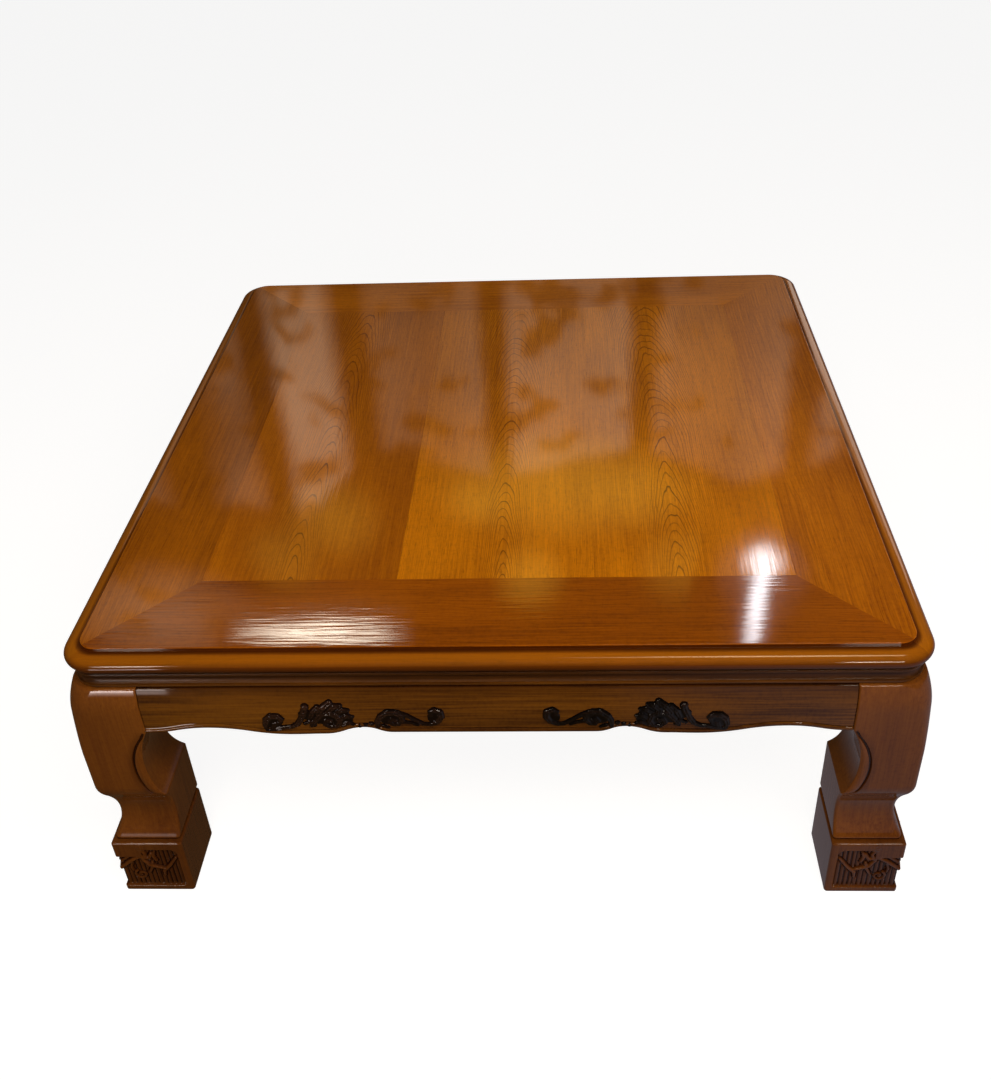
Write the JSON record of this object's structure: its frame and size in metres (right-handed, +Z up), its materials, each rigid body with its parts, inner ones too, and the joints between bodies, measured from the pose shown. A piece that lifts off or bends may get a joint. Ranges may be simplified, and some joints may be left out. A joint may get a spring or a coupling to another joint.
{
  "type": "kang table",
  "caption": "Low square kang table with a framed panel top, moulded waist, wavy carved aprons, waisted square legs and carved block feet.",
  "frame": {"origin": "on the floor under the middle of the tabletop", "axes": "+Z up, +X to the right seen from the front, the front faces -Y"},
  "size_m": [0.808, 0.808, 0.33],
  "materials": {
    "top_frame": "clear gloss lacquer over stained straight-grained hardwood",
    "panel": "clear gloss lacquer over stained hardwood with cathedral grain",
    "waist": "dark gloss lacquer",
    "apron": "dark brown gloss lacquer with darkened carving",
    "leg": "reddish brown gloss lacquer",
    "foot": "reddish brown gloss lacquer with darkened carving",
    "raw_wood": "plain planed hardwood, not lacquered"
  },
  "bodies": {
    "root": {"top_frame_front": "top_frame", "top_frame_back": "top_frame", "top_frame_left": "top_frame", "top_frame_right": "top_frame", "panel_board_1": "panel", "panel_board_2": "panel", "panel_board_3": "panel", "batten_front": "raw_wood", "batten_back": "raw_wood", "waist_front": "waist", "waist_back": "waist", "waist_left": "waist", "waist_right": "waist", "apron_front": "apron", "apron_back": "apron", "apron_left": "apron", "apron_right": "apron", "leg_front_left": "leg", "leg_front_right": "leg", "leg_back_left": "leg", "leg_back_right": "leg", "foot_front_left": "foot", "foot_front_right": "foot", "foot_back_left": "foot", "foot_back_right": "foot", "foot_pegs": "raw_wood", "waist_pegs": "raw_wood"}
  },
  "joints": []
}
